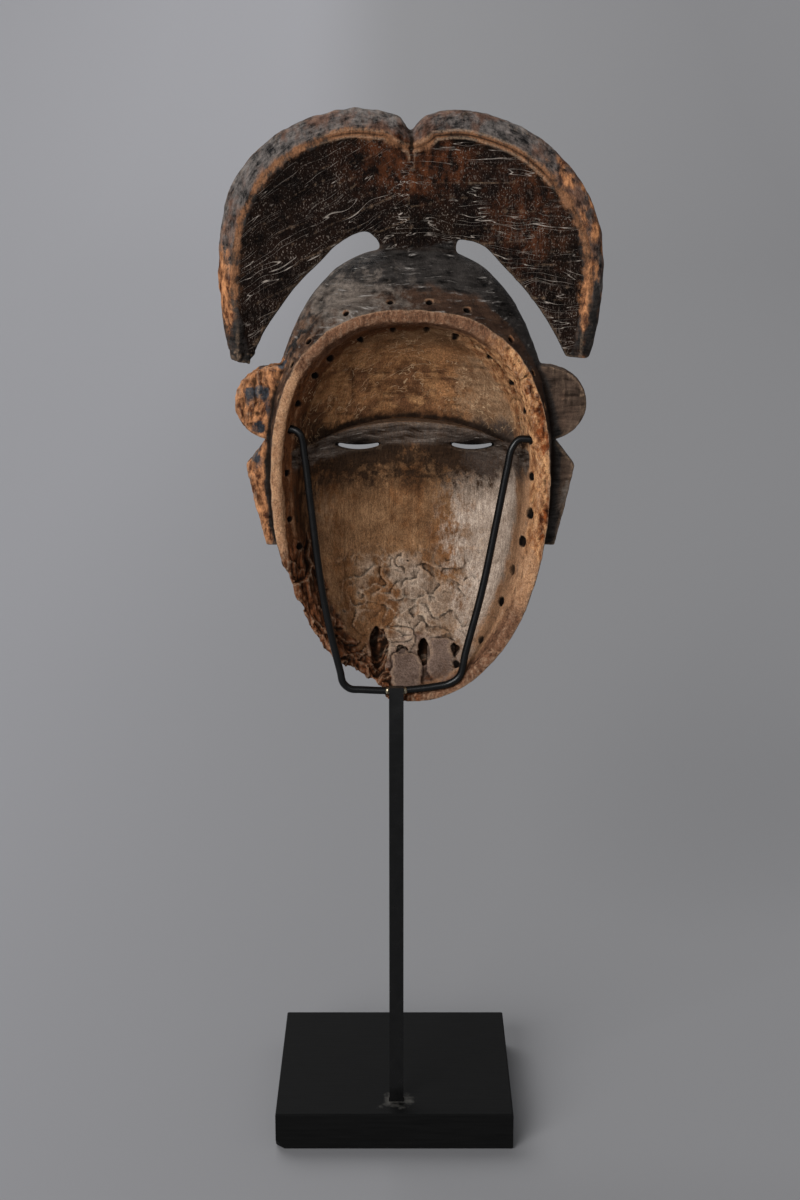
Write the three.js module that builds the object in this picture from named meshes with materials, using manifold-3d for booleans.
// A carved wooden face mask with a winged crest, on its steel and wood display stand.
// Millimetres, +Z up. The origin is the centre of the base's underside, and the face looks along -Y.
import * as THREE from "three";
import { mergeVertices } from "three/addons/utils/BufferGeometryUtils.js";
import Module from "manifold-3d";

const wasm = await Module();
wasm.setup();

// The base is a square block, the post a flat bar and the cradle a bent round rod.
const BASE_SIDE = 140;
const BASE_HEIGHT = 22.5;
const BASE_BEVEL = 0.8;
const BASE_CHIP = 6;
const POST_WIDTH = 8.3;
const POST_THICKNESS = 5;
const POST_FOOT_DEPTH = 12;
const POST_BACK_Y = 53.6;
const POST_X = -1.2;
const POST_TOP = 277;
const POST_BEND_HEIGHT = 246;
const POST_LEAN = 4.2;
const ROD_RADIUS = 2.1;
const GAP = 0.35;

// The mask's own frame: x to the wearer's left, y up, z forward from the plane of the rim.
const MASK_X = -9.2;
const RIM_Y = 44;
const MASK_HEIGHT = 395;

// The rim's outline is an egg made of two half superellipses.
const FACE_HALF_WIDTH = 78;
const FACE_TOP = 94.6;
const FACE_BOTTOM = 128;
const TOP_POWER = 2.4;
const BOTTOM_POWER = 2.1;
const FACE_DEPTH = 70;
const FACE_POWER = 2.5;
const CROWN_RISE = 48;
const CROWN_SWELL = 8.5;

// The hollow that the wearer's face goes into, with a brow ledge that arches over the eyes.
const HOLLOW_HALF_WIDTH = 67;
const HOLLOW_TOP = 87.3;
const HOLLOW_BOTTOM = 122.5;
const FLOOR_DEPTH = 52;
const FOREHEAD_DEPTH = 61;
const LEDGE_RISE = 9;
const LEDGE_Y = 27;
const LEDGE_DROP = 11;
const LEDGE_HALF_WIDTH = 56;

// Eyes, nose, brows and mouth on the front.
const FACE_MIDDLE = -2.8;
const EYE_X = 33;
const EYE_HALF_LENGTH = 15.5;
const EYE_Y = 15.5;
const EYE_SAG = 2.6;
const EYE_OPENING = 2.3;
const EYE_SLANT = 0.15;
const BROW_Y = 31;
const NOSE_ROOT = 30;
const NOSE_TIP = -44;
const MOUTH_Y = -76;

// The crest: two wings that meet over the crown.
const CREST_DEPTH = 42;
const LEFT_WING_OUTER = [[0, 194.5], [9, 198.6], [34, 201.8], [72.3, 189.1], [97.7, 164.1], [106.4, 138],
  [108.3, 112], [107, 90.9], [102.5, 62]];
const LEFT_WING_INNER = [[0, 129.5], [9, 130.5], [25.5, 134.6], [40.1, 128.2], [51, 117.5], [63.3, 105.5],
  [74, 91.5], [82.9, 78.5], [91.1, 61.8]];
const RIGHT_WING_OUTER = [[0, 194.5], [8, 198.2], [30, 201.2], [66, 189.4], [91.5, 167], [105, 142],
  [108.6, 112], [107, 88], [102, 63.8]];
const RIGHT_WING_INNER = [[0, 129.5], [9, 129], [25, 130.4], [40, 127.2], [52, 115.5], [63, 104],
  [74, 89.8], [82.5, 76], [88.3, 64.4]];
const RIDGE_IN = 8.5;
const NOTCH_DEPTH = 4.5;
const TIP_THINNING = 0.35;

// Ears, and the pointed side plates under them.
const EAR_CENTRE = [75, 41.5];
const EAR_SIZE = [23.4, 21];
const EAR_BACK = 15;
const EAR_THICKNESS = 13;
const PLATE_OUTLINE = [[66, 20], [82, 20], [92.6, 6], [89.6, -9], [82, -40], [66, -40]];
const PLATE_BACK = 17;
const PLATE_THICKNESS = 12;
const EDGE_ROUND = 1.6;

// Hand-drilled lacing holes, as distances along the rim from the middle of the crown.
const HOLES_LEFT = [10, 31, 53, 66, 83, 97, 122, 146, 163, 220];
const HOLES_RIGHT = [9, 26, 50, 69, 86, 103, 125, 145, 161, 179, 198, 224, 245];
const HOLE_RADIUS = 2.5;

const deg = (angle) => (angle * Math.PI) / 180;
const smooth = (low, high, value) => THREE.MathUtils.smoothstep(value, low, high);
const bump = (value, centre, width) => Math.exp(-(((value - centre) / width) ** 2));
const signedPower = (value, power) => Math.sign(value) * Math.abs(value) ** power;

// One closed body through a row of rings, each going right-handed about the way the row runs.
function skin(rings) {
  const count = rings[0].length;
  const points = rings.flat();
  const faces = [];
  for (let row = 0; row + 1 < rings.length; row++) {
    for (let column = 0; column < count; column++) {
      const next = (column + 1) % count;
      const [a, b] = [row * count + column, row * count + next];
      const [c, d] = [a + count, b + count];
      // Each four-sided patch folds along its shorter diagonal.
      const short = points[b].distanceTo(points[c]) < points[a].distanceTo(points[d]);
      faces.push(...(short ? [a, b, c, b, d, c] : [a, b, d, a, d, c]));
    }
  }
  for (const [row, flip] of [[0, true], [rings.length - 1, false]]) {
    const centre = new THREE.Vector3();
    rings[row].forEach((point) => centre.addScaledVector(point, 1 / count));
    points.push(centre);
    for (let column = 0; column < count; column++) {
      const a = row * count + column;
      const b = row * count + ((column + 1) % count);
      faces.push(...(flip ? [b, a] : [a, b]), points.length - 1);
    }
  }
  return new THREE.BufferGeometry().setFromPoints(points).setIndex(faces);
}

// A geometry as a solid that can be joined and cut.
function solid(geometry, matrix = new THREE.Matrix4()) {
  const bare = geometry.clone().applyMatrix4(matrix);
  bare.deleteAttribute("normal");
  bare.deleteAttribute("uv");
  const merged = mergeVertices(bare, 1e-4);
  return new wasm.Manifold(new wasm.Mesh({
    numProp: 3,
    vertProperties: merged.getAttribute("position").array,
    triVerts: new Uint32Array(merged.index.array),
  }));
}

function meshOf(name, body, material) {
  const { vertProperties, triVerts } = body.getMesh();
  const geometry = new THREE.BufferGeometry();
  geometry.setAttribute("position", new THREE.BufferAttribute(vertProperties, 3));
  geometry.setIndex(new THREE.BufferAttribute(triVerts, 1));
  geometry.computeVertexNormals();
  const mesh = new THREE.Mesh(geometry, material);
  mesh.name = name;
  return mesh;
}

// The egg outline of a given half width, top and bottom, at an angle about the middle of the face.
function egg(angle, half, top, bottom, squarer = 0) {
  const up = Math.sin(angle) >= 0;
  const power = 2 / (up ? TOP_POWER + squarer : BOTTOM_POWER);
  return new THREE.Vector2(
    half * signedPower(Math.cos(angle), power),
    (up ? top : bottom) * signedPower(Math.sin(angle), power),
  );
}

// How far the rim has worn inwards along the broken stretch, on the wearer's left of the chin.
function wornIn(turned) {
  const along = smooth(-88, -68, turned) * (1 - smooth(-30, -12, turned));
  return along * (3.4 + 0.8 * Math.sin(turned * 0.65) + 0.5 * Math.sin(turned * 1.24));
}

// How deep the rim has split away there, up to the clean break beside the middle of the chin.
function splitDepth(turned) {
  const split = 4 * (1 - smooth(-40, -22, turned)) + 15 * (1 - smooth(-70, -52, turned));
  return split * smooth(-80, -75, turned);
}

// The face's relief over the plain egg: a domed forehead, set-back eyes and a full mouth and chin.
function faceRelief(x, y) {
  const brow = BROW_Y - 13 * (x / 60) ** 2;
  const above = smooth(brow - 8, brow + 12, y);
  const forehead = 6 * above * (1 - smooth(60, 118, y));
  const eyes = -7 * bump(y, EYE_Y - 6, 22) * (1 - above) * bump(x, 0, 70);
  const muzzle = 8 * bump(x, 0, 27) * bump(y, MOUTH_Y, 24);
  return forehead + eyes + muzzle;
}

// The front surface's depth, which the carved features stand on.
function faceDepth(x, y) {
  const end = y > 0 ? FACE_TOP + CROWN_RISE / 2 : FACE_BOTTOM;
  const out = ((Math.abs(x) / (FACE_HALF_WIDTH + 4)) ** 2.2 + (Math.abs(y) / end) ** 2.2) ** (1 / 2.2);
  const share = (1 - Math.min(1, out) ** FACE_POWER) ** (1 / FACE_POWER);
  return FACE_DEPTH * share + share ** 7.5 * faceRelief(x, y);
}

// The outside: rings at growing depth from the rim, rising over the crown and closing on the face.
function head(around = 52, along = 14) {
  const rings = [];
  for (let row = 0; row < along; row++) {
    const turn = (Math.PI / 2) * (row / along);
    const depth = FACE_DEPTH * Math.sin(turn) ** (2 / FACE_POWER);
    const closing = Math.cos(turn) ** (2 / FACE_POWER);
    const front = Math.sin(turn) ** 6;
    const ring = [];
    for (let column = 0; column < around; column++) {
      const angle = 2 * Math.PI * (column / around) - Math.PI;
      const turned = (angle * 180) / Math.PI;
      const edge = egg(angle, FACE_HALF_WIDTH, FACE_TOP, FACE_BOTTOM, 0.5 * Math.sin(turn));
      edge.setLength(edge.length() - wornIn(turned) * (1 - smooth(8, 40, depth)));
      const up = Math.max(0, Math.sin(angle));
      const swell = CROWN_SWELL * Math.sin(2 * turn) * smooth(-0.5, 0.3, Math.sin(angle));
      const x = edge.x * closing + swell * Math.cos(angle);
      const y = edge.y * closing + CROWN_RISE * Math.sin(2 * turn) * up;
      const split = splitDepth(turned) * (1 - depth / FACE_DEPTH) ** 2;
      ring.push(new THREE.Vector3(x, y, depth + split + front * faceRelief(x, y)));
    }
    rings.push(ring);
  }
  const tip = new THREE.Vector3(0, 0, FACE_DEPTH + faceRelief(0, 0));
  rings.push(rings[0].map(() => tip.clone()));
  return solid(skin(rings));
}

// A hollow in level sections. depthAt gives each section's depth, and power its squareness.
function hollow(depthAt, power, low, rows = 20, across = 12) {
  const rings = [];
  for (let row = 0; row <= rows; row++) {
    const middle = (HOLLOW_TOP + low) / 2;
    const y = middle - 0.999 * (HOLLOW_TOP - middle) * Math.cos(Math.PI * (row / rows));
    const [end, curve] = y > 0 ? [HOLLOW_TOP, TOP_POWER] : [-HOLLOW_BOTTOM, BOTTOM_POWER];
    const half = HOLLOW_HALF_WIDTH * (1 - (y / end) ** curve) ** (1 / curve);
    const deep = depthAt(y);
    const ring = [];
    for (let column = 0; column <= across; column++) {
      const angle = Math.PI * (1 - column / across);
      const z = Math.sin(angle) ** (2 / power);
      const x = half * signedPower(Math.cos(angle), 2 / power) * (1 - 0.13 * z);
      ring.push(new THREE.Vector3(x, y, deep * z));
    }
    ring.push(new THREE.Vector3(half * 1.02, y, -20), new THREE.Vector3(-half * 1.02, y, -20));
    rings.push(ring);
  }
  return solid(skin(rings));
}

// The floor behind the face comes nearest at the eyes, falls back under them and rises to the chin.
function faceFloor(y) {
  const ledge = LEDGE_RISE * smooth(-14, 9, y) * (1 - 0.35 * smooth(12, 28, y));
  const end = y > 0 ? (1 - (y / HOLLOW_TOP) ** 1.9) ** (1 / 1.9) : (1 - (-y / HOLLOW_BOTTOM) ** 3) ** 0.5;
  return (FLOOR_DEPTH - ledge) * end;
}

// The deeper bowl behind the forehead, kept above the arched edge of the ledge.
function foreheadBowl() {
  const bowl = hollow((y) => FOREHEAD_DEPTH * (1 - (Math.max(0, y) / HOLLOW_TOP) ** 1.9) ** (1 / 1.9), 2.4, 0, 12, 12);
  const above = new THREE.Shape();
  above.moveTo(90, 120);
  above.lineTo(-90, 120);
  for (let step = -9; step <= 9; step++) {
    const x = step * 10;
    above.lineTo(x, LEDGE_Y - LEDGE_DROP * Math.min(1, (x / LEDGE_HALF_WIDTH) ** 2));
  }
  const block = new THREE.ExtrudeGeometry(above, { depth: 120, bevelEnabled: false });
  return bowl.intersect(solid(block, new THREE.Matrix4().makeTranslation(0, 0, -30)));
}

// The crest's section, as [share or distance from the outer edge, depth from its middle].
function crestSection(length) {
  const near = (distance, limit) => Math.min(distance / length, limit);
  return [
    [0, 1], [near(1.5, 0.1), 6], [near(7, 0.3), 9.5], [0.5, 11], [0.85, 8.5], [0.98, 4], [1, 0.5],
    [0.97, -3.5], [0.72, -5.5], [near(RIDGE_IN + 18, 0.6), -6.5], [near(RIDGE_IN + 6, 0.5), -9.2],
    [near(RIDGE_IN, 0.4), -11], [near(2, 0.1), -5],
  ];
}

function crest(steps = 36) {
  const curve = (points, side) => new THREE.CatmullRomCurve3(
    points.map(([x, y]) => new THREE.Vector3(side * x, y, CREST_DEPTH)), false, "centripetal",
  );
  const rings = [];
  for (let step = -steps / 2; step <= steps / 2; step++) {
    const along = Math.abs(step) / (steps / 2);
    const side = step < 0 ? -1 : 1;
    const outer = curve(side < 0 ? RIGHT_WING_OUTER : LEFT_WING_OUTER, side).getPoint(along);
    const inner = curve(side < 0 ? RIGHT_WING_INNER : LEFT_WING_INNER, side).getPoint(along);
    const across = inner.clone().sub(outer);
    outer.y -= NOTCH_DEPTH * bump(outer.x, 0, 4.5);
    const thin = 1 - TIP_THINNING * along ** 2;
    // The wing on the wearer's left has lost its point.
    const broken = side > 0 ? smooth(0.93, 1, along) : 0;
    rings.push(crestSection(across.length()).map(([share, depth]) => {
      const point = outer.clone().addScaledVector(across, share);
      point.y -= broken * 4 * (share - 0.25);
      return point.setZ(CREST_DEPTH + depth * thin * (1 - 0.3 * broken));
    }));
  }
  return solid(skin(rings));
}

// The neck that joins the crest to the crown, waisted and a little to the wearer's right.
function neck(around = 16) {
  const waist = [[102, 38, 8], [112, 31, 8], [119, 24.5, 7], [125, 21.5, 6.3], [130, 23, 5.6], [136, 30, 3.5]];
  const rings = waist.map(([y, half, deep]) => {
    const ring = [];
    for (let column = 0; column < around; column++) {
      const angle = -2 * Math.PI * (column / around);
      const x = half * signedPower(Math.cos(angle), 0.8) - 4;
      ring.push(new THREE.Vector3(x, y, CREST_DEPTH + 1 + deep * signedPower(Math.sin(angle), 0.8)));
    }
    return ring;
  });
  return solid(skin(rings));
}

function plate(outline, back, thickness) {
  const geometry = new THREE.ExtrudeGeometry(outline, {
    depth: thickness - 2 * EDGE_ROUND,
    bevelSize: EDGE_ROUND,
    bevelThickness: EDGE_ROUND,
    bevelOffset: -EDGE_ROUND,
    bevelSegments: 2,
    curveSegments: 12,
  });
  return solid(geometry, new THREE.Matrix4().makeTranslation(0, 0, back + EDGE_ROUND));
}

function ear(side) {
  const outline = new THREE.Shape();
  const [x, y] = EAR_CENTRE;
  const [width, height] = EAR_SIZE;
  outline.moveTo(side * (x - 9), y - height);
  outline.absellipse(side * x, y, width, height, deg(-90), deg(side > 0 ? 90 : -270), side < 0, 0);
  outline.lineTo(side * (x - 9), y + height);
  return plate(outline, EAR_BACK, EAR_THICKNESS);
}

function sidePlate(side) {
  const outline = new THREE.Shape(PLATE_OUTLINE.map(([x, y]) => new THREE.Vector2(side * x, y)));
  return plate(outline, PLATE_BACK, PLATE_THICKNESS);
}

// A rounded bar along a line of points, each [x, y, z, half width, half depth].
function bar(stations, around = 8) {
  const rings = stations.map(([x, y, z, half, deep], index) => {
    const before = stations[Math.max(0, index - 1)];
    const after = stations[Math.min(stations.length - 1, index + 1)];
    const way = new THREE.Vector3(after[0] - before[0], after[1] - before[1], 0).normalize();
    const across = new THREE.Vector3(-way.y, way.x, 0);
    const ring = [];
    for (let column = 0; column < around; column++) {
      const angle = 2 * Math.PI * (column / around);
      const point = new THREE.Vector3(x, y, z).addScaledVector(across, half * Math.cos(angle));
      point.z += deep * Math.sin(angle);
      ring.push(point);
    }
    return ring;
  });
  return solid(skin(rings));
}

function brows() {
  const stations = [];
  for (let step = -11; step <= 11; step++) {
    const x = step * 5.7 + FACE_MIDDLE;
    const arch = Math.abs(Math.abs(step * 5.7) - 32) / 32;
    const end = Math.sqrt(Math.max(0.02, 1 - (step / 11.2) ** 4));
    const y = BROW_Y + 4 - 9 * arch ** 2;
    stations.push([x, y, faceDepth(x, y) - 1, 3.6 * end + 0.4, 5 * end + 0.5]);
  }
  return bar(stations, 6);
}

function nose() {
  const profile = [
    [NOSE_ROOT + 2, 3, 4.5, 5], [NOSE_ROOT - 10, 5, 5, 7.5], [4, 5, 5.5, 11], [-18, 3, 7, 14.5],
    [NOSE_TIP + 9, 2, 10, 17], [NOSE_TIP + 2, 2, 11.5, 16], [NOSE_TIP - 2, 2, 9, 12],
  ];
  return bar(profile.map(([y, sunk, half, deep]) => [
    FACE_MIDDLE, y, faceDepth(FACE_MIDDLE, y) - sunk, half, deep,
  ]), 10);
}

// A closed upper lid over each eye, which the slit then cuts under.
function eyelid(side) {
  const stations = [];
  for (let step = -5; step <= 5; step++) {
    const share = step / 5;
    const fade = Math.sqrt(Math.max(0.03, 1 - share ** 2));
    const x = FACE_MIDDLE + side * EYE_X + step * 3.8;
    const y = EYE_Y - 3 - EYE_SAG * (1 - share ** 2);
    stations.push([x, y, faceDepth(x, y) - 2, 7 * fade, 7 * fade]);
  }
  return bar(stations);
}

function eyeSlit(side) {
  const outline = new THREE.Shape();
  const steps = 6;
  const top = (share) => EYE_Y - EYE_SAG * (1 - share ** 2);
  for (let step = -steps; step <= steps; step++) {
    const share = step / steps;
    outline[step === -steps ? "moveTo" : "lineTo"](EYE_HALF_LENGTH * share, top(share));
  }
  for (let step = steps - 1; step > -steps; step--) {
    const share = step / steps;
    outline.lineTo(EYE_HALF_LENGTH * share, top(share) - EYE_OPENING * (1 - share ** 2) ** 0.35);
  }
  const geometry = new THREE.ExtrudeGeometry(outline, { depth: 60, bevelEnabled: false });
  const slant = new THREE.Matrix4().makeShear(0, 0, 0, 0, 0, -EYE_SLANT);
  const place = new THREE.Matrix4().makeTranslation(FACE_MIDDLE + side * EYE_X, 18 * EYE_SLANT, 27);
  return solid(geometry, slant.premultiply(place));
}

function mouth() {
  const ring = (y, half, deep) => {
    const stations = [];
    for (let step = -5; step <= 5; step++) {
      const share = step / 5;
      const fade = Math.sqrt(Math.max(0.04, 1 - share ** 2));
      const x = FACE_MIDDLE + step * 3.6;
      stations.push([x, y, faceDepth(x, y) - 1, half * fade + 0.5, deep * fade + 1]);
    }
    return bar(stations);
  };
  return ring(MOUTH_Y + 3.9, 3.4, 7).add(ring(MOUTH_Y - 3.9, 3.7, 7));
}

// Raised scar marks, three on each cheek.
function cheekMarks() {
  const marks = [];
  for (const side of [-1, 1]) {
    for (const row of [0, 1, 2]) {
      const y = -20 - 9 * row;
      const stations = [-1, -0.5, 0.5, 1].map((share) => {
        const fade = Math.sqrt(1.1 - share ** 2);
        const x = FACE_MIDDLE + side * (42 - 2.5 * row) + share * 8;
        return [x, y, faceDepth(x, y) - 1.5, 1.8 * fade, 3.6 * fade];
      });
      marks.push(bar(stations, 6));
    }
  }
  return marks;
}

// A round hole from one point to another.
function drill(from, to, radius, sides = 6) {
  const way = to.clone().sub(from);
  const geometry = new THREE.CylinderGeometry(radius, radius, way.length(), sides);
  const turn = new THREE.Quaternion().setFromUnitVectors(new THREE.Vector3(0, 1, 0), way.clone().normalize());
  const middle = from.clone().addScaledVector(way, 0.5);
  return solid(geometry, new THREE.Matrix4().compose(middle, turn, new THREE.Vector3(1, 1, 1)));
}

// The lacing holes follow the hollow's edge from the middle of the crown down each side.
function lacingHoles() {
  const holes = [];
  for (const [side, distances] of [[1, HOLES_LEFT], [-1, HOLES_RIGHT]]) {
    const at = (turned) => egg(deg(90 - side * turned), HOLLOW_HALF_WIDTH, HOLLOW_TOP, HOLLOW_BOTTOM);
    let turned = 0;
    let travelled = 0;
    for (const distance of distances) {
      while (travelled < distance) {
        travelled += at(turned + 0.25).distanceTo(at(turned));
        turned += 0.25;
      }
      const edge = at(turned);
      const tangent = at(turned + 0.5).sub(at(turned - 0.5)).normalize();
      const outward = new THREE.Vector2(-tangent.y, tangent.x).multiplyScalar(side);
      const from = edge.clone().addScaledVector(outward, -8);
      const to = edge.clone().addScaledVector(outward, 22);
      holes.push(drill(new THREE.Vector3(from.x, from.y, 9.5), new THREE.Vector3(to.x, to.y, 6), HOLE_RADIUS));
    }
  }
  return holes;
}

// Worm-eaten pits in the floor of the chin.
function chinPits() {
  const pit = (x, y, z, down, radius) => drill(
    new THREE.Vector3(x, y + 4, z - 8), new THREE.Vector3(x, y - down, z + 9), radius,
  );
  return [pit(19, -95, 26, 12, 4), pit(4.5, -100, 26, 6, 3), pit(-9, -101, 27, 8, 3.4)];
}

// The rod's route in the mask's frame, from the hook in one side wall round to the other.
function rodPath() {
  const route = [
    [73, 27.6, 9.2], [66, 28, 9], [61.6, 25.4, 8], [59, 12, 7], [56.3, -11.2, 5.6], [50, -63, 3.6],
    [42.9, -98.2, 2.4], [39.6, -111.5, 2], [36.2, -117.6, 1.9], [30, -120.2, 1.9], [8, -121.5, 1.9],
    [-15, -119, 1.9], [-22.4, -117.2, 1.9], [-28, -113, 2], [-31.6, -98.2, 2.4], [-40.5, -63, 3.6],
    [-48.5, -22.6, 5.4], [-54, 6, 7], [-56.6, 17.4, 8], [-60.6, 22.2, 9], [-66, 22.4, 9], [-74, 21.8, 9],
  ];
  return new THREE.CatmullRomCurve3(route.map((point) => new THREE.Vector3(...point)), false, "centripetal");
}

function rod(radius, steps = 48, sides = 8) {
  const section = new THREE.Shape();
  for (let corner = 0; corner < sides; corner++) {
    const angle = (2 * Math.PI * corner) / sides;
    section[corner ? "lineTo" : "moveTo"](radius * Math.cos(angle), radius * Math.sin(angle));
  }
  section.closePath();
  return solid(new THREE.ExtrudeGeometry(section, { steps, bevelEnabled: false, extrudePath: rodPath() }));
}

function mask() {
  const add = [crest(), neck(), ear(1), ear(-1), sidePlate(1), sidePlate(-1), brows(), nose(),
    eyelid(1), eyelid(-1), mouth(), ...cheekMarks()];
  const cut = [hollow(faceFloor, 3.4, -HOLLOW_BOTTOM), foreheadBowl(), eyeSlit(1), eyeSlit(-1),
    rod(ROD_RADIUS + 2 * GAP), ...lacingHoles(), ...chinPits()];
  const joined = add.reduce((body, piece) => body.add(piece), head());
  return cut.reduce((body, piece) => body.subtract(piece), joined);
}

// The flat bar, seen from its side: straight up, then leaning in to meet the rod.
function post() {
  const side = new THREE.Shape();
  const foot = BASE_HEIGHT - POST_FOOT_DEPTH + GAP;
  const front = POST_BACK_Y - POST_THICKNESS;
  const line = [[0, foot], [0, POST_BEND_HEIGHT], [0.15, POST_BEND_HEIGHT + 5], [1, POST_TOP - 19],
    [POST_LEAN, POST_TOP]];
  line.forEach(([lean, z], index) => side[index ? "lineTo" : "moveTo"](front - lean, z));
  line.reverse().forEach(([lean, z]) => side.lineTo(POST_BACK_Y - lean, z));
  const geometry = new THREE.ExtrudeGeometry(side, { depth: POST_WIDTH, bevelEnabled: false });
  // The side view's axes (y, z) with the width along x.
  const turn = new THREE.Matrix4().makeBasis(
    new THREE.Vector3(0, 1, 0), new THREE.Vector3(0, 0, 1), new THREE.Vector3(1, 0, 0),
  );
  return solid(geometry, turn.setPosition(POST_X - POST_WIDTH / 2, 0, 0));
}

function base() {
  const half = BASE_SIDE / 2;
  const outline = new THREE.Shape([[-half, -half], [half, -half], [half, half], [-half, half]]
    .map(([x, y]) => new THREE.Vector2(x, y)));
  const block = solid(new THREE.ExtrudeGeometry(outline, {
    depth: BASE_HEIGHT - 2 * BASE_BEVEL,
    bevelSize: BASE_BEVEL,
    bevelThickness: BASE_BEVEL,
    bevelOffset: -BASE_BEVEL,
    bevelSegments: 1,
  }), new THREE.Matrix4().makeTranslation(0, 0, BASE_BEVEL));
  const slot = solid(
    new THREE.BoxGeometry(POST_WIDTH + 2 * GAP, POST_THICKNESS + 2 * GAP, 2 * POST_FOOT_DEPTH),
    new THREE.Matrix4().makeTranslation(POST_X, POST_BACK_Y - POST_THICKNESS / 2, BASE_HEIGHT),
  );
  // One bottom corner is chipped off.
  const chip = solid(new THREE.OctahedronGeometry(BASE_CHIP), new THREE.Matrix4().makeTranslation(half, half, 0));
  return block.subtract(slot).subtract(chip);
}

const wood = new THREE.MeshStandardMaterial({ color: 0x5a4030, roughness: 0.7, metalness: 0 });
const steel = new THREE.MeshStandardMaterial({ color: 0x161616, roughness: 0.45, metalness: 0.6 });
const blackWood = new THREE.MeshStandardMaterial({ color: 0x151514, roughness: 0.6, metalness: 0 });

const maskFrame = new THREE.Group();
maskFrame.position.set(MASK_X, RIM_Y, MASK_HEIGHT);
maskFrame.rotation.x = Math.PI / 2;
maskFrame.add(meshOf("mask", mask(), wood));
maskFrame.add(meshOf("cradle_rod", rod(ROD_RADIUS), steel));

const object = new THREE.Group();
object.add(maskFrame);
object.add(meshOf("post", post(), steel));
object.add(meshOf("base", base(), blackWood));

export default object;
